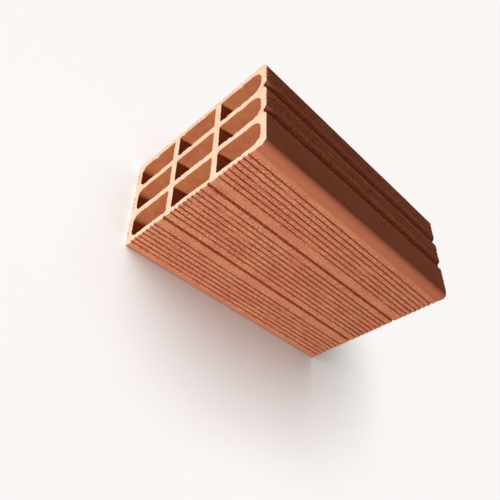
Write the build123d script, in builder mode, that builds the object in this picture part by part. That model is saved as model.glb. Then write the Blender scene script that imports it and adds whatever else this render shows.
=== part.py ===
from build123d import *

import os

# Hollow clay brick: an extruded and fired block with nine cells, 115 x 190 x 290 mm.
# X runs along the extrusion, Y through the wall that the brick builds, and Z up.
# The origin is in the middle of the bed face, on the floor. The cells run right
# through, from the cut end at -X to the one at +X, and the crowned row is on top.

# The block, in millimetres
LENGTH = 290.0
THICKNESS = 115.0
HEIGHT = 190.0

# Shell and webs, and the columns and rows of cells between them
SHELL = 7.0
WEB = 8.0
COLUMNS = 3
ROWS = 3

# Radii of the cells' corners: at a web, under the top face and over the bed face
WEB_CORNER = 2.0
CROWN_CORNER = 11.0
BED_CORNER = 8.0

# Radii of the block's own long edges
TOP_EDGE = 6.5
BED_EDGE = 2.0

# Keying grooves that the die scores along the block: how wide each kind is at its
# mouth and at its floor, how deep it is, and the radius of its lips and floor
FINE_MOUTH = 2.2
FINE_FLOOR = 0.7
FINE_DEPTH = 1.2
FINE_ROUND = 0.25
WIDE_MOUTH = 3.8
WIDE_FLOOR = 1.4
WIDE_DEPTH = 1.7
WIDE_ROUND = 0.4
BROAD_MOUTH = 11.0
BROAD_FLOOR = 3.2
BROAD_DEPTH = 3.0
BROAD_ROUND = 3.0

# From one fine groove to the next
FINE_PITCH = 6.0

# Both wide faces: one wide groove a little below each web's middle, and fine grooves
# over the rest, in from the bed and the top edge as far as the plain strips beside the
# wide grooves, and midway between the two wide ones
WIDE_BELOW_WEB = 5.4
PLAIN_BESIDE_WIDE = 9.6
BED_TO_FINE = 9.5
TOP_TO_FINE = 20.4

# Top face: one broad groove behind each web's middle, and fine ones by their count,
# midway between two broad ones and in from the back edge. Its front strip is plain.
BROAD_BEHIND_WEB = 5.0
MIDWAY_COUNT = 2
BACK_COUNT = 3
EDGE_TO_FINE = 9.0

# Bed face: a count of fine grooves under the middle of each column of cells
UNDER_CELL_COUNT = 3

# Each cell, and how far it is from one cell to the next
CELL_WIDTH = (THICKNESS - 2 * SHELL - (COLUMNS - 1) * WEB) / COLUMNS
CELL_HEIGHT = (HEIGHT - 2 * SHELL - (ROWS - 1) * WEB) / ROWS
COLUMN_PITCH = CELL_WIDTH + WEB
ROW_PITCH = CELL_HEIGHT + WEB
FRONT = -THICKNESS / 2
BACK = THICKNESS / 2


def middles(first, pitch, count):
    """Evenly spaced places, so many of them from the first one on."""
    return [first + step * pitch for step in range(count)]


def fine_about(middle, count):
    """Places of so many fine grooves, side by side about a middle."""
    return middles(middle - (count - 1) * FINE_PITCH / 2, FINE_PITCH, count)


def fine_count(room):
    """How many fine grooves there are from one end of a strip to the other."""
    return 1 + int(room / FINE_PITCH)


def cell_section(bed_corner, top_corner):
    """One cell about its middle, with the corners that its row has."""
    largest = 0.45 * min(CELL_WIDTH, CELL_HEIGHT)
    with BuildSketch() as cell:
        Rectangle(CELL_WIDTH, CELL_HEIGHT)
        fillet(cell.vertices().group_by(Axis.Y)[0], min(bed_corner, largest))
        fillet(cell.vertices().group_by(Axis.Y)[-1], min(top_corner, largest))
    return cell.sketch


def groove_section(mouth, floor, depth, rounding):
    """A groove that opens upwards, with its lips on the X axis and rounded."""
    with BuildSketch() as groove:
        with BuildLine():
            surface = FilletPolyline(
                (-mouth, 0),
                (-mouth / 2, 0),
                (-floor / 2, -depth),
                (floor / 2, -depth),
                (mouth / 2, 0),
                (mouth, 0),
                radius=rounding,
            )
            Polyline(surface @ 1, (mouth, depth), (-mouth, depth), surface @ 0)
        make_face()
    return groove.sketch


fine_groove = groove_section(FINE_MOUTH, FINE_FLOOR, FINE_DEPTH, FINE_ROUND)
wide_groove = groove_section(WIDE_MOUTH, WIDE_FLOOR, WIDE_DEPTH, WIDE_ROUND)
broad_groove = groove_section(BROAD_MOUTH, BROAD_FLOOR, BROAD_DEPTH, BROAD_ROUND)

# Wide faces, as heights above the bed
web_heights = middles(SHELL + CELL_HEIGHT + WEB / 2, ROW_PITCH, ROWS - 1)
wide_heights = [height - WIDE_BELOW_WEB for height in web_heights]
highest_fine = HEIGHT - TOP_TO_FINE
room_at_bed = wide_heights[0] - PLAIN_BESIDE_WIDE - BED_TO_FINE
room_at_top = highest_fine - wide_heights[-1] - PLAIN_BESIDE_WIDE
fine_heights = middles(BED_TO_FINE, FINE_PITCH, fine_count(room_at_bed))
fine_heights += middles(highest_fine, -FINE_PITCH, fine_count(room_at_top))
for lower, upper in zip(wide_heights, wide_heights[1:]):
    room = upper - lower - 2 * PLAIN_BESIDE_WIDE
    fine_heights += fine_about((lower + upper) / 2, fine_count(room))

# Top and bed faces, as places from front to back
columns = middles(FRONT + SHELL + CELL_WIDTH / 2, COLUMN_PITCH, COLUMNS)
broad_places = [column + COLUMN_PITCH / 2 + BROAD_BEHIND_WEB for column in columns[:-1]]
fine_on_top = middles(BACK - EDGE_TO_FINE, -FINE_PITCH, BACK_COUNT)
for front_one, back_one in zip(broad_places, broad_places[1:]):
    fine_on_top += fine_about((front_one + back_one) / 2, MIDWAY_COUNT)
fine_on_bed = [place for column in columns for place in fine_about(column, UNDER_CELL_COUNT)]

with BuildPart() as brick:
    # The die's opening, seen along X: across is Y and up is Z
    with BuildSketch(Plane.YZ.offset(-LENGTH / 2)) as section:
        with Locations((0, HEIGHT / 2)):
            Rectangle(THICKNESS, HEIGHT)
        fillet(section.vertices().group_by(Axis.Y)[0], BED_EDGE)
        fillet(section.vertices().group_by(Axis.Y)[-1], TOP_EDGE)

        for row in range(ROWS):
            cell = cell_section(
                BED_CORNER if row == 0 else WEB_CORNER,
                CROWN_CORNER if row == ROWS - 1 else WEB_CORNER,
            )
            height = SHELL + CELL_HEIGHT / 2 + row * ROW_PITCH
            with Locations(*[(place, height) for place in columns]):
                add(cell, mode=Mode.SUBTRACT)

        for face, outward in ((BACK, -90), (FRONT, 90)):
            with Locations(*[(face, height) for height in fine_heights]):
                add(fine_groove, rotation=outward, mode=Mode.SUBTRACT)
            with Locations(*[(face, height) for height in wide_heights]):
                add(wide_groove, rotation=outward, mode=Mode.SUBTRACT)
        with Locations(*[(place, HEIGHT) for place in fine_on_top]):
            add(fine_groove, mode=Mode.SUBTRACT)
        with Locations(*[(place, HEIGHT) for place in broad_places]):
            add(broad_groove, mode=Mode.SUBTRACT)
        with Locations(*[(place, 0) for place in fine_on_bed]):
            add(fine_groove, rotation=180, mode=Mode.SUBTRACT)
    extrude(amount=LENGTH)

brick.part.label = "brick"
os.makedirs("parts", exist_ok=True)
export_step(brick.part, "parts/brick.step")
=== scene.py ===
import math

import bmesh
import bpy
import numpy as np
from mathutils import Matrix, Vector, kdtree
from mathutils.geometry import delaunay_2d_cdt
from mathutils.noise import noise


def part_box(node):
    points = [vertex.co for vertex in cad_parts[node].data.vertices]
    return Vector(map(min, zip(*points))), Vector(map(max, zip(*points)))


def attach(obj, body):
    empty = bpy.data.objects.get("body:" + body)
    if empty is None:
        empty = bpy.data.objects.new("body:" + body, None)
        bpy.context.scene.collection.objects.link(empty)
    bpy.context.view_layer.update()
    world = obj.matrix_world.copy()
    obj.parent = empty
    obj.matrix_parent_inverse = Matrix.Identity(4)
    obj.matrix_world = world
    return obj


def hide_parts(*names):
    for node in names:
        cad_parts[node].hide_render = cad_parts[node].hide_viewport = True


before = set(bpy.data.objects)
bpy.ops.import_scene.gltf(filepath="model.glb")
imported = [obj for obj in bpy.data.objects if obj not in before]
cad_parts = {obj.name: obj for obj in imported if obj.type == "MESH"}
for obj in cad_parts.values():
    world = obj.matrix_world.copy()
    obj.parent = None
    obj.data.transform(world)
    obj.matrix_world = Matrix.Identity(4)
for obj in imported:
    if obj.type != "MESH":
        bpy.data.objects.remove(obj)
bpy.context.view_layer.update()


# The brick. One block of red clay, pressed through a die that gives it nine cells and
# its grooves, cut to length with a wire, dried and fired. The wire tears the soft clay,
# so both cut ends are rough and paler, with small chips along every edge.

MM = 0.001
low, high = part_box("brick")

# The die's opening, read from the faces at one end of the solid, whose normals have an X
# below this. Points this close are welded. The outlines are then followed this closely,
# with no step longer than this on the outside and in the cells.
END_NORMAL = -0.99
WELD = 0.002 * MM
OUTLINE_TOLERANCE = 0.03 * MM
OUTSIDE_STEP = 2.2 * MM
CELL_STEP = 3.2 * MM


def cut_outlines(solid):
    """The closed outlines of a solid's lower X end as (Y, Z), with the clay on their right.

    Each starts from its lowest point, and from the front one of several. The outside comes
    first and then the cells from the bed up, so that every run makes the same brick.
    """
    mesh = bmesh.new()
    mesh.from_mesh(solid.data)
    bmesh.ops.remove_doubles(mesh, verts=mesh.verts, dist=WELD)
    following = {}
    for face in mesh.faces:
        for corner in face.loops:
            on_end = [other.normal.x < END_NORMAL for other in corner.edge.link_faces]
            if face.normal.x < END_NORMAL and sum(on_end) == 1:
                following[corner.vert] = corner.link_loop_next.vert
    outlines = []
    while following:
        vert = min(following, key=lambda vert: (round(vert.co.z / WELD), round(vert.co.y / WELD)))
        outline = []
        while vert in following:
            outline.append((vert.co.y, vert.co.z))
            vert = following.pop(vert)
        outlines.append(np.array(outline))
    mesh.free()
    return outlines


def respace(outline, longest):
    """An outline without the points that it doesn't need, and with more on its long runs."""
    kept = [outline[0]]
    for point, after in zip(outline[1:], np.roll(outline, -1, axis=0)[1:]):
        chord = after - kept[-1]
        off = point - kept[-1]
        distance = abs(chord[0] * off[1] - chord[1] * off[0]) / np.hypot(*chord)
        if distance > OUTLINE_TOLERANCE:
            kept.append(point)
    spaced = []
    for point, after in zip(kept, kept[1:] + kept[:1]):
        steps = max(1, math.ceil(np.hypot(*(after - point)) / longest))
        spaced += [point + (after - point) * step / steps for step in range(steps)]
    return np.array(spaced)


outside, *cells = cut_outlines(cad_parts["brick"])
outer = respace(outside, OUTSIDE_STEP)
cells = [respace(cell, CELL_STEP) for cell in cells]

# The grooves. A point belongs to a face and its grooves if it is this near to that face,
# and farther than this from the next one, where a long edge of the brick is rounded.
GROOVE_ZONE = 4 * MM
EDGE_ZONE = 7.0 * MM
# A wide and a broad groove are told from a fine one by a depth, which they have within
# this reach of their lips
WIDE_FROM = 1.4 * MM
WIDE_REACH = 2.0 * MM
BROAD_FROM = 2.2 * MM
BROAD_REACH = 6 * MM


def below_faces(outline):
    """How far each point is from the front, back, bed and top face."""
    y, z = outline[:, 0], outline[:, 1]
    return np.column_stack([y - low.y, high.y - y, z - low.z, high.z - z])


def towards_clay(outline):
    """The direction into the clay at each point of an outline, square to a grooved face."""
    square = np.array([(1, 0), (-1, 0), (0, 1), (0, -1)])  # in the order of below_faces
    along = np.roll(outline, -1, axis=0) - np.roll(outline, 1, axis=0)
    along /= np.hypot(along[:, 0], along[:, 1])[:, None]
    inwards = np.column_stack([along[:, 1], -along[:, 0]])
    depths = below_faces(outline)
    near = np.sort(depths, axis=1)
    on_face = (near[:, 0] < GROOVE_ZONE) & (near[:, 1] > EDGE_ZONE)
    inwards[on_face] = square[np.argmin(depths[on_face], axis=1)]
    return inwards


def groove_depth():
    """How far each point of the outer outline lies below its face, away from the edges."""
    near = np.sort(below_faces(outer), axis=1)
    return np.where(near[:, 1] < EDGE_ZONE, 0.0, near[:, 0])


def near_depth(depth, reach):
    """Which points of the outer outline have one deeper than this within their reach."""
    deepest = [depths[np.hypot(*(outer - point).T) < reach].max() for point in outer]
    return np.array(deepest) > depth


depths = groove_depth()
in_wide = near_depth(WIDE_FROM, WIDE_REACH)
in_broad = near_depth(BROAD_FROM, BROAD_REACH)
fine_depths = np.where(in_wide | in_broad, 0, depths)

# Painted groove shade: a darker, redder clay colour that stands in for the shade in the grooves.
# In the fine grooves it begins at the first depth and is complete at the second, and on the top
# face it is less. The wide grooves are half shaded at their very lips, and the broad ones darken
# more gently.
FINE_SHADE_DEPTHS = (0.2 * MM, 0.9 * MM)
TOP_SHADE_SHARE = 0.4
WIDE_SHADE_DEPTHS = (-0.5 * MM, 0.5 * MM)
BROAD_SHADE_DEPTHS = (0.4 * MM, 3.2 * MM)
# Polished clay slid along the die. It begins and is complete this far from every groove,
# and on the top and bed face it is less polished than on the wide faces.
POLISH_GAPS = (3.5 * MM, 7.5 * MM)
POLISH_LOST = 0.4


def rising(values, limits):
    """From 0 at the first limit to 1 at the second, and the same beyond them."""
    return np.clip((values - limits[0]) / (limits[1] - limits[0]), 0, 1)


def groove_shading():
    """How much painted groove shade each point of the outer outline gets, by its depth in a groove.
    """
    groove_shade = rising(depths, FINE_SHADE_DEPTHS) * np.where(high.z - outer[:, 1] < EDGE_ZONE, TOP_SHADE_SHARE, 1)
    groove_shade = np.where(in_wide, rising(depths, WIDE_SHADE_DEPTHS), groove_shade)
    return np.where(in_broad, rising(depths, BROAD_SHADE_DEPTHS), groove_shade)


def polish():
    """How polished each point of the outer outline is: fully on a wide face's plain parts."""
    grooves = outer[depths > FINE_SHADE_DEPTHS[0]]
    gaps = np.array([np.hypot(*(grooves - point).T).min() for point in outer])
    off_wide_face = below_faces(outer)[:, :2].min(axis=1)
    return rising(gaps, POLISH_GAPS) * (1 - POLISH_LOST * rising(off_wide_face, (0, EDGE_ZONE)))


# Chips. They reach this far along the brick from a cut end, fade by this power, and take
# this much off the length and off the outline.
CHIP_REACH = 2.4 * MM
CHIP_FADE = 1.6
CHIP_LENGTH = 1.1 * MM
CHIP_DEPTH = 0.60 * MM
# Most are this wide, some are narrower, and all come in wider patches: the width, the share
# and the seed of each
CHIP_WIDTH = 3.2 * MM
CHIP_KINDS = ((CHIP_WIDTH, 1.3, 11.0), (CHIP_WIDTH / 3, 1.0, 17.0), (CHIP_WIDTH * 4, 0.6, 23.0))
# The rim within this reach of the top face has more of them than the rest
TOP_CHIP_ZONE = 1.5 * MM
TOP_CHIPS = 0.22
OTHER_CHIPS = 0.02
# The two cut ends. Their numbers also seed what is random on them.
LOW_END, HIGH_END = 1, 2
# How far one step of a seed shifts a noise along X, Y and Z
SEED_SHIFT = (1.0, 2.3, 0.7)


def wave(points, size, seed):
    """Smooth noise from 0 to 1 at each point, with blobs of a size along X, Y and Z."""
    shift = Vector([part * seed for part in SEED_SHIFT])
    scaled = points / np.array(size)
    return np.array([0.5 + 0.5 * noise(Vector(point) + shift) for point in scaled])


def section_points(outline):
    """Points of the section in space, at X 0, so that a noise is the same along the brick."""
    return np.column_stack([np.zeros(len(outline)), outline])


def chipping(outline, end):
    """How much is chipped off at points of the section at one cut end, from 0 to 1."""
    chipped = np.where(high.z - outline[:, 1] < TOP_CHIP_ZONE, TOP_CHIPS, OTHER_CHIPS)
    for width, share, seed in CHIP_KINDS:
        chipped = chipped + share * (wave(section_points(outline), (width,) * 3, seed * end) - 0.5)
    return np.clip(chipped, 0, 1)


# The pressed walls. They bow a little, and drag lines run along them. Each has the depth
# that it reaches, and the size along X, Y and Z and the seed of its waves. Both together
# go in by no more than the last value.
BOW_DEPTH = 0.35 * MM
BOW = ((90 * MM, 35 * MM, 35 * MM), 3.0)
DRAG_DEPTH = 0.10 * MM
DRAG = ((22 * MM, 1.6 * MM, 1.6 * MM), 5.0)
UNEVEN_MOST = 0.45 * MM
# Clay dragged along by the die half fills a fine groove here and there: the size and the
# seed of its waves, the part of them over which it comes in, and the share that it fills
SMEAR = ((20 * MM, 5 * MM, 5 * MM), 7.0)
SMEAR_RANGE = (0.62, 0.77)
SMEAR_FILL = 0.45
# Rings of points along the brick: how far apart they are on the outside and in the cells,
# and where they are close to a cut end, for the chips
OUTSIDE_STATION = 4.5 * MM
CELL_STATION = 9.0 * MM
NEAR_CUT = np.array([0.0, 0.45, 1.0, 1.7, 2.6, 3.8]) * MM


def stations(spacing):
    """Places along X from one cut end to the other, closer together near both."""
    middle = np.linspace(low.x + NEAR_CUT[-1], high.x - NEAR_CUT[-1],
                         round((high.x - low.x) / spacing))
    return np.concatenate([low.x + NEAR_CUT[:-1], middle, high.x - NEAR_CUT[-2::-1]])


def wall(outline, places, fine_depths, groove_shade, polished):
    """One pressed surface as rings of points, and how chipped, how much painted groove shade and
    how polished each is.
    """
    inwards = towards_clay(outline)
    rings = []
    for x in places:
        end, from_cut = (LOW_END, x - low.x) if x < 0 else (HIGH_END, high.x - x)
        points = np.column_stack([np.full(len(outline), x), outline])
        uneven = BOW_DEPTH * wave(points, *BOW) + DRAG_DEPTH * wave(points, *DRAG)
        chip = np.zeros(len(outline))
        if from_cut < CHIP_REACH:
            chip = chipping(outline, end) * (1 - from_cut / CHIP_REACH) ** CHIP_FADE
        smeared = (fine_depths > 0) * SMEAR_FILL * rising(wave(points, *SMEAR), SMEAR_RANGE)
        inset = np.minimum(uneven, UNEVEN_MOST) + CHIP_DEPTH * chip - smeared * fine_depths
        points[:, 1:] += inwards * inset[:, None]
        points[:, 0] += (CHIP_LENGTH if end == LOW_END else -CHIP_LENGTH) * chip
        # Where clay fills a fine groove, it gets less painted groove shade
        rings.append((points, np.column_stack([chip, groove_shade * (1 - smeared), polished])))
    return rings


# The cut ends. Points are strewn over them this far apart, each moved by up to this share
# of that, and kept this far from the rims. The wire left bumps of this depth, size and
# seed, and chips reach this far in from a rim.
CUT_STEP = 1.5 * MM
CUT_JITTER = 0.3
RIM_GAP = 0.7 * MM
BUMP_DEPTH = 0.30 * MM
BUMP_SIZE = 6 * MM
BUMP_SEED = 31.0
CUT_CHIP_REACH = 1.6 * MM
# The triangulation works in millimetres. It fills the hull of the rims, cells included,
# and takes points this close for one.
FILL_HULL = 0
SAME_POINT_MM = 1e-6


def in_clay(points, rims):
    """Which points of the section lie in clay, by the rims crossed on the way out."""
    inside = np.zeros(len(points), bool)
    for rim in rims:
        for (y0, z0), (y1, z1) in zip(rim, np.roll(rim, -1, axis=0)):
            if z0 != z1:
                crosses = (z0 > points[:, 1]) != (z1 > points[:, 1])
                at = y0 + (points[:, 1] - z0) * (y1 - y0) / (z1 - z0)
                inside ^= crosses & (points[:, 0] < at)
    return inside


def strew(rims, seed):
    """Points strewn over the clay between the rims, and how far each is from a rim."""
    grid = np.meshgrid(np.arange(low.y, high.y, CUT_STEP), np.arange(low.z, high.z, CUT_STEP))
    loose = np.column_stack([axis.ravel() for axis in grid])
    rng = np.random.default_rng(seed)
    loose += rng.uniform(-CUT_JITTER, CUT_JITTER, loose.shape) * CUT_STEP
    loose = loose[in_clay(loose, rims)]
    rim = np.concatenate(rims)
    tree = kdtree.KDTree(len(rim))
    for i, (y, z) in enumerate(rim):
        tree.insert((0, y, z), i)
    tree.balance()
    gaps = np.array([tree.find((0, y, z))[2] for y, z in loose])
    clear = gaps > RIM_GAP
    return loose[clear], gaps[clear]


def fill(rims, loose):
    """Small triangles over the clay between the rims, as places among all their points."""
    edges = []
    for rim in rims:
        first = len(edges)
        edges += [(first + i, first + (i + 1) % len(rim)) for i in range(len(rim))]
    flat = [Vector(point) / MM for point in np.concatenate([*rims, loose])]
    verts, _, triangles, sources, _, _ = delaunay_2d_cdt(
        flat, edges, [], FILL_HULL, SAME_POINT_MM)
    middles = np.array([sum((verts[i] for i in tri), Vector((0, 0))) / 3 for tri in triangles])
    return [[sources[i][0] for i in tri]
            for tri, keep in zip(triangles, in_clay(middles * MM, rims)) if keep]


class Surface:
    """Collects the points, faces and finishes of one mesh."""

    def __init__(self):
        self.points = []
        self.faces = []
        self.finishes = []
        self.details = []

    def add_points(self, points, details):
        """Adds points with how chipped they are, how much painted groove shade they get and how
        polished they are, and returns their places.
        """
        first = len(self.points)
        self.points.extend(map(tuple, points))
        self.details.extend(details)
        return range(first, len(self.points))

    def add_wall(self, rings, finish):
        """Joins rings of points into a tube and returns the places of its end rings."""
        added = [self.add_points(*ring) for ring in rings]
        for ring, after in zip(added, added[1:]):
            for i in range(len(ring)):
                self.faces.append((ring[i - 1], after[i - 1], after[i], ring[i]))
                self.finishes.append(finish)
        return added[0], added[-1]

    def add_cut(self, ends, end, finish):
        """Fills a cut end between the ends of the walls, roughened and chipped."""
        rims = [np.array([self.points[i][1:] for i in ring]) for ring in ends]
        loose, gaps = strew(rims, end)
        chip = chipping(loose, end) * np.clip(1 - gaps / CUT_CHIP_REACH, 0, 1)
        bumps = BUMP_DEPTH * wave(section_points(loose), (BUMP_SIZE,) * 3, BUMP_SEED * end)
        inward = bumps + CHIP_LENGTH * chip
        xs = low.x + inward if end == LOW_END else high.x - inward
        plain = np.zeros(len(loose))
        added = self.add_points(np.column_stack([xs, loose]), np.column_stack([chip, plain, plain]))
        index = [i for ring in ends for i in ring] + list(added)
        for tri in fill(rims, loose):
            corners = [index[i] for i in tri]
            self.faces.append(tuple(corners[::-1] if end == LOW_END else corners))
            self.finishes.append(finish)


# The finishes, in the order in which the mesh gets its materials
SKIN, CELL_SKIN, CUT = range(3)
# Edges that turn by more degrees than this stay crisp, such as the rims of the cut ends
SHARP_FROM = 42

surface = Surface()
rings = wall(outer, stations(OUTSIDE_STATION), fine_depths, groove_shading(), polish())
walls = [surface.add_wall(rings, SKIN)]
for cell in cells:
    plain = np.zeros(len(cell))
    rings = wall(cell, stations(CELL_STATION), plain, plain, plain)
    walls.append(surface.add_wall(rings, CELL_SKIN))
surface.add_cut([first for first, _ in walls], LOW_END, CUT)
surface.add_cut([last for _, last in walls], HIGH_END, CUT)

brick_mesh = bpy.data.meshes.new("fired_brick")
brick_mesh.from_pydata(surface.points, [], surface.faces)
# The second attribute is the share of painted groove shade
for name, values in zip(("chip", "groove_shade", "polish"), np.transpose(surface.details)):
    brick_mesh.attributes.new(name, "FLOAT", "POINT").data.foreach_set("value", values)
brick_mesh.polygons.foreach_set("material_index", surface.finishes)
brick_mesh.polygons.foreach_set("use_smooth", [True] * len(surface.faces))
brick_mesh.update()
brick_mesh.set_sharp_from_angle(angle=math.radians(SHARP_FROM))
brick = bpy.data.objects.new("fired_brick", brick_mesh)
bpy.context.collection.objects.link(brick)

# The clay. Where the die polished it and where it is chipped, it has the first and last of these
# colours, whatever the finish around, and the grooves get the middle one as painted shade.
POLISHED_CLAY = "B76E50"
GROOVE_SHADE_COLOUR = "8A2E0A"
CHIPPED_CLAY = "DCB694"
# Up to this much polish the sand goes, and from there on the clay gets darker
SANDLESS = 0.55


def linear(hex_colour):
    """An sRGB hex colour as linear red, green, blue and alpha."""
    parts = [int(hex_colour[i:i + 2], 16) / 255 for i in (0, 2, 4)]
    return (*[p / 12.92 if p <= 0.04045 else ((p + 0.055) / 1.055) ** 2.4 for p in parts], 1)


def bare_tree(owner):
    """The node tree of a material or a world, emptied."""
    owner.use_nodes = True
    owner.node_tree.nodes.clear()
    return owner.node_tree


def node(tree, kind, settings=None, **inputs):
    """Adds a node with its settings, and sets or links its inputs, by name or _2 by place."""
    made = tree.nodes.new(kind)
    for name, value in (settings or {}).items():
        setattr(made, name, value)
    for name, value in inputs.items():
        socket = made.inputs[int(name[1:]) if name[0] == "_" else name.replace("_", " ")]
        if isinstance(value, bpy.types.NodeSocket):
            tree.links.new(value, socket)
        else:
            socket.default_value = value
    return made


def fired_clay(name, light, dark, mottle_mm, drawn_mm, grain_mm, sand, relief_mm):
    """Unglazed fired clay: matt, softly mottled, sandy, and drawn out the way it slid."""
    material = bpy.data.materials.new(name)
    tree = bare_tree(material)
    place = node(tree, "ShaderNodeTexCoord").outputs["Object"]
    clouds = node(tree, "ShaderNodeTexNoise", Vector=place, Scale=1 / (mottle_mm * MM), Detail=2.0)
    drawn = node(tree, "ShaderNodeMapping", Vector=place, Scale=[1 / (mm * MM) for mm in drawn_mm])
    drag = node(tree, "ShaderNodeTexNoise", Vector=drawn.outputs["Vector"], Scale=1.0, Detail=2.0)
    grain = node(tree, "ShaderNodeTexNoise", Vector=place, Scale=1 / (grain_mm * MM), Detail=3.0)

    # Colour: mottling, and then streaks and sand that shade it. Polished clay has no sand.
    mottled = node(tree, "ShaderNodeMapRange", Value=clouds.outputs["Fac"],
                   From_Min=0.35, From_Max=0.65)
    base = node(tree, "ShaderNodeMix", {"data_type": "RGBA"}, _0=mottled.outputs["Result"],
                _6=linear(dark), _7=linear(light))
    streaks = node(tree, "ShaderNodeMapRange", Value=drag.outputs["Fac"],
                   From_Min=0.3, From_Max=0.7, To_Min=1 - sand / 6, To_Max=1 + sand / 6)
    sandy = node(tree, "ShaderNodeMapRange", Value=grain.outputs["Fac"],
                 From_Min=0.35, From_Max=0.65, To_Min=1 - sand, To_Max=1 + sand)
    polished = node(tree, "ShaderNodeAttribute", {"attribute_name": "polish"})
    sandless = node(tree, "ShaderNodeMapRange", Value=polished.outputs["Fac"], From_Max=SANDLESS)
    darker = node(tree, "ShaderNodeMapRange", Value=polished.outputs["Fac"], From_Min=SANDLESS)
    smooth = node(tree, "ShaderNodeMix", {"data_type": "RGBA"}, _0=darker.outputs["Result"],
                  _6=base.outputs[2], _7=linear(POLISHED_CLAY))
    shade = node(tree, "ShaderNodeMix", {"data_type": "FLOAT"}, _0=sandless.outputs["Result"],
                 _2=sandy.outputs["Result"], _3=1.0)
    shade = node(tree, "ShaderNodeMath", {"operation": "MULTIPLY"}, _0=shade.outputs[0],
                 _1=streaks.outputs["Result"])
    shaded = node(tree, "ShaderNodeVectorMath", {"operation": "SCALE"}, _0=smooth.outputs[2],
                  Scale=shade.outputs[0])

    # Painted shade: the grooves get a redder, darker colour for the shade in them, broken up by the
    # grain, and chips show the pale clay inside
    groove_shade = node(tree, "ShaderNodeAttribute", {"attribute_name": "groove_shade"})
    groove_shade_grain = node(tree, "ShaderNodeMapRange", Value=grain.outputs["Fac"],
                  From_Min=0.35, From_Max=0.65, To_Min=1.05, To_Max=0.65)
    groove_shade_amount = node(tree, "ShaderNodeMath", {"operation": "MULTIPLY"}, _0=groove_shade.outputs["Fac"],
                _1=groove_shade_grain.outputs["Result"])
    groove_shaded = node(tree, "ShaderNodeMix", {"data_type": "RGBA"}, _0=groove_shade_amount.outputs[0],
                   _6=shaded.outputs[0], _7=linear(GROOVE_SHADE_COLOUR))
    chip = node(tree, "ShaderNodeAttribute", {"attribute_name": "chip"})
    bare = node(tree, "ShaderNodeMapRange", Value=chip.outputs["Fac"],
                From_Min=0.2, From_Max=0.6)
    chipped = node(tree, "ShaderNodeMix", {"data_type": "RGBA"}, _0=bare.outputs["Result"],
                   _6=groove_shaded.outputs[2], _7=linear(CHIPPED_CLAY))

    # Relief: the drag lines, half as high as the grains of sand, which stand up fully where
    # nothing polished them
    lines = node(tree, "ShaderNodeBump", Strength=1.0, Distance=0.5 * relief_mm * MM,
                 Height=drag.outputs["Fac"])
    rough = node(tree, "ShaderNodeMapRange", Value=sandless.outputs["Result"],
                 To_Min=1.0, To_Max=0.2)
    grains = node(tree, "ShaderNodeMath", {"operation": "MULTIPLY"}, _0=grain.outputs["Fac"],
                  _1=rough.outputs["Result"])
    relief = node(tree, "ShaderNodeBump", Strength=1.0, Distance=relief_mm * MM,
                  Height=grains.outputs[0], Normal=lines.outputs["Normal"])
    shader = node(tree, "ShaderNodeBsdfPrincipled", Base_Color=chipped.outputs[2],
                  Roughness=0.92, IOR=1.5, Specular_IOR_Level=0.25, Normal=relief.outputs["Normal"])
    node(tree, "ShaderNodeOutputMaterial", Surface=shader.outputs["BSDF"])
    return material


# Pressed clay, smoothed by the die: even terracotta with a fine sandy skin and faint
# streaks along the brick. The sand is finer than this, and drawn coarser so that it shows.
pressed_clay = fired_clay(
    "pressed_fired_clay", light="CD8966", dark="C87C5E", mottle_mm=30,
    drawn_mm=(40, 1.8, 1.8), grain_mm=1.6, sand=0.40, relief_mm=0.35)
# The clay inside the cells is darker and oranger than outside, partly as painted shade inside the
# cells, and has almost no sand.
cell_clay = fired_clay(
    "cell_fired_clay", light="B47448", dark="B36343", mottle_mm=9,
    drawn_mm=(30, 2.6, 2.6), grain_mm=2.0, sand=0.06, relief_mm=0.15)
# Wire-cut clay: torn open and never polished, so pale, creamy and rough, with faint lines
# across the brick where the wire went through.
cut_clay = fired_clay(
    "wire_cut_fired_clay", light="E9CEB6", dark="E3C3AA", mottle_mm=14,
    drawn_mm=(3, 25, 1.4), grain_mm=1.4, sand=0.05, relief_mm=0.35)
for material in (pressed_clay, cell_clay, cut_clay):
    brick_mesh.materials.append(material)

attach(brick, "root")
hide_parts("brick")


# The floor. A plain sheet of white paper, far wider than the view, which shows white to
# the camera and carries the brick's soft shadow, mostly painted into its glow. It isn't part of the
# brick.

FLOOR_REACH = 20.0
# How brightly the paper glows in its painted shadow beside the brick and out in the open,
# and how far from the brick that painted shadow reaches
GLOW_SHADED = 0.08
GLOW_OPEN = 0.85
SHADE_REACH = 200 * MM


def seen_directly(tree):
    """1 for rays from the camera, off a gloss or through glass, and 0 for the others."""
    rays = node(tree, "ShaderNodeLightPath").outputs
    seen = rays["Is Camera Ray"]
    for other in ("Is Glossy Ray", "Is Transmission Ray"):
        both = node(tree, "ShaderNodeMath", {"operation": "MAXIMUM"}, _0=seen, _1=rays[other])
        seen = both.outputs[0]
    return seen


floor_mesh = bpy.data.meshes.new("floor")
floor_mesh.from_pydata(
    [(x, y, 0) for x, y in ((-1, -1), (1, -1), (1, 1), (-1, 1))], [], [(0, 1, 2, 3)])
floor = bpy.data.objects.new("floor", floor_mesh)
floor.scale = (FLOOR_REACH, FLOOR_REACH, 1)
bpy.context.collection.objects.link(floor)
# Both lamps stand lower than the floor and shine up through it, as through a glass table
floor.visible_shadow = False

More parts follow.
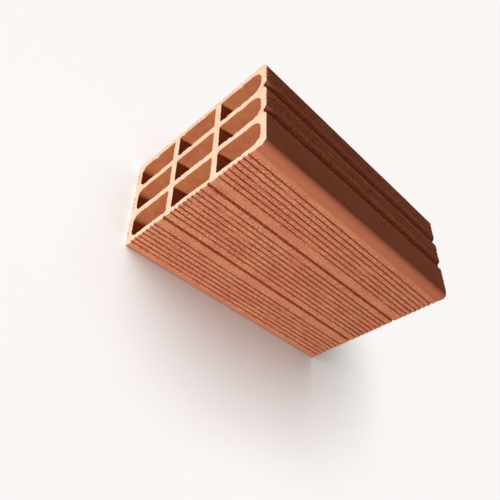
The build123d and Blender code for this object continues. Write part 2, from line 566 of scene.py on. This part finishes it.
# Matt white paper, cool against the warm light. Its glow holds a painted shadow: it glows less
# where the brick shuts it off from the open side, towards the near cut end, the back and above.
paper = bpy.data.materials.new("white_paper")
tree = bare_tree(paper)
open_side = node(tree, "ShaderNodeCombineXYZ", X=-0.55, Y=0.24, Z=0.80)
open_sky = node(tree, "ShaderNodeAmbientOcclusion", {"samples": 16}, Distance=SHADE_REACH,
                Normal=open_side.outputs[0])
glowing = node(tree, "ShaderNodeMapRange", Value=open_sky.outputs["AO"],
               From_Min=0.40, From_Max=0.95, To_Min=GLOW_SHADED, To_Max=GLOW_OPEN)
glowing = node(tree, "ShaderNodeMath", {"operation": "MULTIPLY"}, _0=seen_directly(tree),
               _1=glowing.outputs["Result"])
matt = node(tree, "ShaderNodeBsdfDiffuse", Color=linear("E9F4F7"))
glow = node(tree, "ShaderNodeEmission", Color=linear("FBFDFE"), Strength=glowing.outputs[0])
both = node(tree, "ShaderNodeAddShader", _0=matt.outputs[0], _1=glow.outputs[0])
node(tree, "ShaderNodeOutputMaterial", Surface=both.outputs[0])
floor_mesh.materials.append(paper)


# The light. One large soft lamp stands low beside the near cut end, a weaker one stands
# opposite, and a weak even sky fills the shadows, so that the top face stays dark.

# Both lamps are this wide and high, low enough not to show above the floor, and stand this
# far from the middle of the brick
LAMP_WIDTH = 1.0
LAMP_HEIGHT = 0.3
LAMP_DISTANCE = 2.4
AIM = Vector((0, 0, 95 * MM))


def soft_lamp(name, direction, watts):
    """A rectangular white lamp that shines at the middle of the brick from a direction."""
    data = bpy.data.lights.new(name, "AREA")
    data.shape = "RECTANGLE"
    data.size = LAMP_WIDTH
    data.size_y = LAMP_HEIGHT
    data.energy = watts
    data.color = linear("FFFBF7")[:3]
    lamp = bpy.data.objects.new(name, data)
    lamp.location = AIM + Vector(direction).normalized() * LAMP_DISTANCE
    lamp.rotation_euler = Vector(direction).to_track_quat("Z", "Y").to_euler()
    bpy.context.collection.objects.link(lamp)


soft_lamp("key_lamp", (-0.80, -0.56, -0.12), 76)
soft_lamp("back_lamp", (0.55, 0.80, -0.12), 48)

# A weak warm sky for the brick, and behind it the same white as the open floor
SKY_LEVEL = 0.162
world = bpy.data.worlds.new("studio")
bpy.context.scene.world = world
tree = bare_tree(world)
seen = seen_directly(tree)
level = node(tree, "ShaderNodeMapRange", Value=seen, To_Min=SKY_LEVEL, To_Max=1.0)
tone = node(tree, "ShaderNodeMix", {"data_type": "RGBA"}, _0=seen,
            _6=linear("FFCDB6"), _7=linear("FBF8F7"))
sky = node(tree, "ShaderNodeBackground", Color=tone.outputs[2], Strength=level.outputs["Result"])
node(tree, "ShaderNodeOutputWorld", Surface=sky.outputs[0])


# The camera. It looks down at the cut end, the front face and the top, and is rolled so
# that the brick lies as it does in the picture.

camera_data = bpy.data.cameras.new("camera")
camera_data.sensor_width = 36
camera_data.lens = 43.36
camera_data.shift_x = -0.0103
camera_data.shift_y = 0.06
camera = bpy.data.objects.new("camera", camera_data)
camera.location = Vector((-376.3, -449.6, 405.5)) * MM
camera.rotation_euler = [math.radians(angle) for angle in (37.26, -46.39, 1.21)]
bpy.context.collection.objects.link(camera)
bpy.context.scene.camera = camera
bpy.context.scene.view_settings.view_transform = "Standard"
